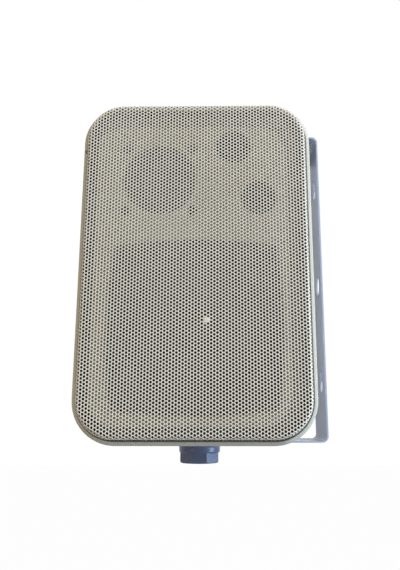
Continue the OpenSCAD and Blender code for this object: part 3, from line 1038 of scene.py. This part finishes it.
class Finishes:
    """The finishes of the object."""

    # The grille's finish paints shade on the inner side of the pan's walls.
    grille = PanSheet("grille_enamel", (0.73, 0.705, 0.63), (0.675, 0.64, 0.56), roughness=0.42,
                      mottle_size=60, grain_size=0.35, grain_depth=0.012, dust=0.25)
    drop = Finish("dried_paint", (0.67, 0.655, 0.57), (0.60, 0.585, 0.50), roughness=0.5, grain_size=0.4,
                  grain_depth=0.03)
    # The front moulding's finish paints shade on the baffle and the channel behind the grille.
    front = FrontMoulding("front_moulding", (0.54, 0.52, 0.435), (0.47, 0.445, 0.365), roughness=0.5,
                          mottle_size=50, mottle_amount=0.35, grain_size=0.45, grain_depth=0.03,
                          dust=0.35, marks=(((-0.1834, -0.089, 0.0879), 1.7, (0.11, 0.10, 0.07)),))
    shell = Finish("rear_moulding", (0.54, 0.52, 0.435), (0.47, 0.445, 0.365), roughness=0.55,
                   mottle_size=60, mottle_amount=0.35, grain_size=0.6, grain_depth=0.06,
                   coarse_share=0.4, dust=0.4)
    yoke = Finish("yoke_enamel", (0.38, 0.425, 0.565), (0.335, 0.375, 0.51), roughness=0.42,
                  mottle_size=45, grain_size=0.7, grain_depth=0.03, rub=0.6, rubbed=(0.36, 0.37, 0.42),
                  dust=0.2)
    knob = Finish("knob_moulding", (0.084, 0.106, 0.185), (0.068, 0.086, 0.15), roughness=0.33,
                  mottle_size=20, grain_size=0.5, grain_depth=0.03, rub=0.35, rubbed=(0.2, 0.22, 0.28),
                  rub_width=0.6)
    basket = Finish("basket_enamel", (0.010, 0.010, 0.011), (0.016, 0.016, 0.018), roughness=0.55,
                    grain_size=0.6, dust=0.15)
    rubber = Finish("moulded_rubber", (0.012, 0.012, 0.012), (0.022, 0.022, 0.022), roughness=0.62,
                    grain_size=0.3)
    paper = PressedPaper("cone_paper", (0.010, 0.010, 0.011), (0.018, 0.018, 0.019), roughness=0.8,
                         mottle_size=12, grain_size=0.6, grain_depth=0.12,
                         centre=(-0.1005, 0.0, -0.0445))
    cap = Finish("dust_cap_paper", (0.011, 0.011, 0.012), (0.019, 0.019, 0.02), roughness=0.7,
                 grain_size=0.5, grain_depth=0.06)
    tweeter_paper = PressedPaper("tweeter_paper", (0.010, 0.010, 0.011), (0.018, 0.018, 0.019),
                                 roughness=0.75, mottle_size=8, grain_size=0.5, grain_depth=0.08,
                                 ring_pitch=3.0, centre=(-0.1275, 0.0, 0.065))
    cloth = Finish("spider_cloth", (0.55, 0.38, 0.16), (0.45, 0.30, 0.12), roughness=0.85, mottle_size=6,
                   grain_size=0.8, grain_depth=0.15)
    copper = Finish("enamelled_copper", (0.60, 0.24, 0.10), (0.45, 0.17, 0.07), roughness=0.35,
                    metallic=0.9, mottle_size=8, grain_size=0.4, grain_depth=0.1)
    plated = Finish("zinc_plate", (0.60, 0.61, 0.63), (0.52, 0.52, 0.50), roughness=0.34, metallic=1.0,
                    mottle_size=15, grain_size=0.3, grain_depth=0.01)
    ferrite = Finish("ferrite", (0.05, 0.05, 0.055), (0.08, 0.08, 0.085), roughness=0.7, metallic=0.2,
                     mottle_size=10, grain_size=0.4, grain_depth=0.06)
    black_steel = Finish("black_plate", (0.018, 0.018, 0.02), (0.03, 0.03, 0.032), roughness=0.4,
                         metallic=0.6, mottle_size=6)
    black_plastic = Finish("black_moulding", (0.014, 0.014, 0.016), (0.024, 0.024, 0.026), roughness=0.5,
                           mottle_size=20, grain_size=0.5, grain_depth=0.04, dust=0.15)
    red_plastic = Finish("red_moulding", (0.42, 0.012, 0.012), (0.33, 0.01, 0.01), roughness=0.35,
                         mottle_size=10, grain_size=0.4)
    board = Laminate("board_laminate", (0.02, 0.10, 0.05), (0.05, 0.20, 0.09), roughness=0.35,
                     grain_size=1.0)
    sleeve = Finish("shrunk_sleeve", (0.02, 0.04, 0.16), (0.03, 0.05, 0.20), roughness=0.25,
                    mottle_size=10)
    brass = Finish("brass", (0.72, 0.50, 0.20), (0.60, 0.40, 0.15), roughness=0.3, metallic=1.0,
                   mottle_size=8, grain_size=0.3, grain_depth=0.01)
    felt = Finish("loose_wadding", (0.75, 0.75, 0.72), (0.60, 0.60, 0.57), roughness=0.95, mottle_size=6,
                  mottle_amount=0.8, grain_size=2.0, grain_depth=0.8)


@dataclass
class SubAssembly:
    """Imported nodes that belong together, each with its finish."""

    maker: Maker
    finishes: ClassVar[dict[str, Finish]] = {}

    def build(self) -> None:
        """Dresses the nodes."""
        for node, finish in self.finishes.items():
            self.maker.dress(node, finish)


class Enclosure(SubAssembly):
    """The mouldings, what holds them together, the wadding and the ports."""

    finishes = {"front_frame": Finishes.front, "rear_shell": Finishes.shell, "shell_screws": Finishes.plated,
                "wadding": Finishes.felt, "port_tube_upper": Finishes.black_plastic,
                "port_tube_lower": Finishes.black_plastic}


class Woofer(SubAssembly):
    """The woofer, from its basket to its screws."""

    finishes = {"woofer_basket": Finishes.basket, "woofer_surround": Finishes.rubber,
                "woofer_cone": Finishes.paper, "woofer_dust_cap": Finishes.cap,
                "woofer_spider": Finishes.cloth, "woofer_voice_coil": Finishes.copper,
                "woofer_top_plate": Finishes.plated, "woofer_magnet": Finishes.ferrite,
                "woofer_pole_piece": Finishes.plated, "woofer_screws": Finishes.black_steel}


class Tweeter(SubAssembly):
    """The tweeter and its screws."""

    finishes = {"tweeter_frame": Finishes.black_plastic, "tweeter_cone": Finishes.tweeter_paper,
                "tweeter_magnet": Finishes.plated, "tweeter_screws": Finishes.black_steel}


class Electrics(SubAssembly):
    """The crossover and the terminals."""

    finishes = {"crossover_board": Finishes.board, "crossover_coil": Finishes.copper,
                "crossover_capacitors": Finishes.sleeve, "terminal_cup": Finishes.black_plastic,
                "terminal_clips": Finishes.brass, "lever_axle": Finishes.plated,
                "lever_red": Finishes.red_plastic, "lever_black": Finishes.black_plastic,
                "terminal_screws": Finishes.plated}


class Bracket(SubAssembly):
    """The yoke and its two clamps."""

    finishes = {"yoke": Finishes.yoke}
    clamp: ClassVar[dict[str, Finish]] = {"insert": Finishes.brass, "washer": Finishes.rubber,
                                          "knob": Finishes.knob, "stud": Finishes.plated}

    def build(self) -> None:
        """Dresses the yoke and the clamps, and puts a skirt on each knob."""
        super().build()
        for side in ("upper", "lower"):
            for part, finish in self.clamp.items():
                self.maker.dress(f"{part}_{side}", finish)
            KnobSkirt(self.maker, Finishes.knob).build(side)


@dataclass(frozen=True)
class AreaLamp:
    """A round area lamp: where it hangs, what it points at, how wide it is, its watts and its colour."""

    place: Point
    aim: Point
    width: float
    watts: float
    colour: Colour


class Lamp(Enum):
    """The studio's lamps."""

    KEY = AreaLamp((1.25, -1.2, 1.15), (-0.1, 0.0, 0.0), 0.6, 33.0, (0.98, 0.99, 1.0))
    FILL = AreaLamp((-1.15, -1.3, 0.0), (-0.1, 0.0, 0.0), 0.8, 7.0, (1.0, 0.80, 0.48))
    SIDE = AreaLamp((1.0, -0.3, -0.33), (-0.1, 0.0, -0.13), 0.55, 11.5, (0.56, 0.76, 1.0))
    BACK = AreaLamp((0.2, 1.3, 1.2), (-0.1, 0.0, 0.0), 1.2, 9.0, WHITE)


@dataclass
class Studio:
    """The camera, the lamps, the world and the floor."""

    eye: Point = (-0.0785, -0.5210, -0.1044)
    pitch: float = 13.08
    yaw: float = 0.77
    lens: float = 38.86
    shift: tuple[float, float] = (-0.0316, -0.0263)
    nearest: float = 0.01
    floor_z: float = -0.62
    floor_size: float = 12.0
    floor_colour: Colour = (0.14, 0.16, 0.21)
    floor_white: float = 0.985
    ambient: float = 0.30
    from_above: float = 0.26
    from_right: float = 0.20
    warm: Colour = (1.0, 0.93, 0.80)
    cool: Colour = (0.92, 0.97, 1.05)
    cool_slope: float = 0.35

    def camera(self) -> None:
        """Sets the camera where the photograph was taken from."""
        data = bpy.data.cameras.new("camera")
        data.lens = self.lens
        data.shift_x, data.shift_y = self.shift
        data.clip_start = self.nearest
        seen = bpy.data.objects.new("camera", data)
        seen.location = self.eye
        seen.rotation_euler = (math.radians(90 + self.pitch), 0.0, math.radians(self.yaw))
        bpy.context.scene.collection.objects.link(seen)
        bpy.context.scene.camera = seen

    def lamps(self) -> None:
        """Hangs the area lamps."""
        for lamp in Lamp:
            made = lamp.value
            data = bpy.data.lights.new(lamp.name.lower(), "AREA")
            data.shape = "DISK"
            data.size = made.width
            data.energy = made.watts
            data.color = made.colour
            hung = bpy.data.objects.new(data.name, data)
            hung.location = made.place
            hung.rotation_euler = (Vector(made.aim) - Vector(made.place)).to_track_quat("-Z", "Y").to_euler()
            bpy.context.scene.collection.objects.link(hung)

    def world(self) -> None:
        """Fills the room with soft light that the camera sees as white."""
        world = bpy.data.worlds.new("studio")
        world.use_nodes = True
        world.node_tree.nodes.clear()
        tree = Tree(world.node_tree)
        way = tree.add("ShaderNodeTexCoord").outputs["Generated"]
        parts = tree.add("ShaderNodeSeparateXYZ", None, Vector=way).outputs
        sky = tree.fused(parts["Z"], self.from_above, self.ambient)
        level = tree.fused(parts["X"], self.from_right, sky)
        cooled = tree.fused(tree.math("ADD", parts["X"], parts["Z"]), self.cool_slope, 0.5)
        tint = tree.mix(cooled, self.warm, self.cool)
        room = tree.add("ShaderNodeBackground", None, Color=tint, Strength=level)
        white = tree.add("ShaderNodeBackground", None, Color=WHITE, Strength=1.0)
        both = tree.add("ShaderNodeMixShader", None, i0=tree.seen(), i1=room.outputs[0], i2=white.outputs[0])
        tree.add("ShaderNodeOutputWorld", None, Surface=both.outputs[0])
        bpy.context.scene.world = world

    def floor(self) -> None:
        """Lays the pale floor."""
        bpy.ops.mesh.primitive_plane_add(size=self.floor_size, location=(0, 0, self.floor_z))
        floor = bpy.context.object
        floor.name = "floor"
        material = bpy.data.materials.new("floor")
        material.use_nodes = True
        material.node_tree.nodes.clear()
        tree = Tree(material.node_tree)
        matt = tree.add("ShaderNodeBsdfDiffuse", None, Color=self.floor_colour)
        white = tree.add("ShaderNodeEmission", None, Color=WHITE, Strength=1.0)
        share = tree.math("MULTIPLY", tree.seen(), self.floor_white)
        both = tree.add("ShaderNodeMixShader", None, i0=share, i1=matt.outputs[0], i2=white.outputs[0])
        tree.add("ShaderNodeOutputMaterial", None, Surface=both.outputs[0])
        floor.data.materials.append(material)

    def build(self) -> None:
        """Sets up the whole studio."""
        self.camera()
        self.lamps()
        self.world()
        self.floor()
        bpy.context.scene.view_settings.view_transform = "Standard"
        LOG.info("studio is lit")


def main() -> None:
    """Builds the speaker's looks."""
    logging.basicConfig(level=logging.INFO, format="%(message)s")
    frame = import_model()
    Studio().build()
    maker = Maker(frame)
    Grille(maker, Finishes.grille).build()
    PaintDrop(maker, Finishes.drop).build()
    for sub_assembly in (Enclosure, Woofer, Tweeter, Electrics, Bracket):
        sub_assembly(maker).build()


if __name__ == "__main__":
    main()
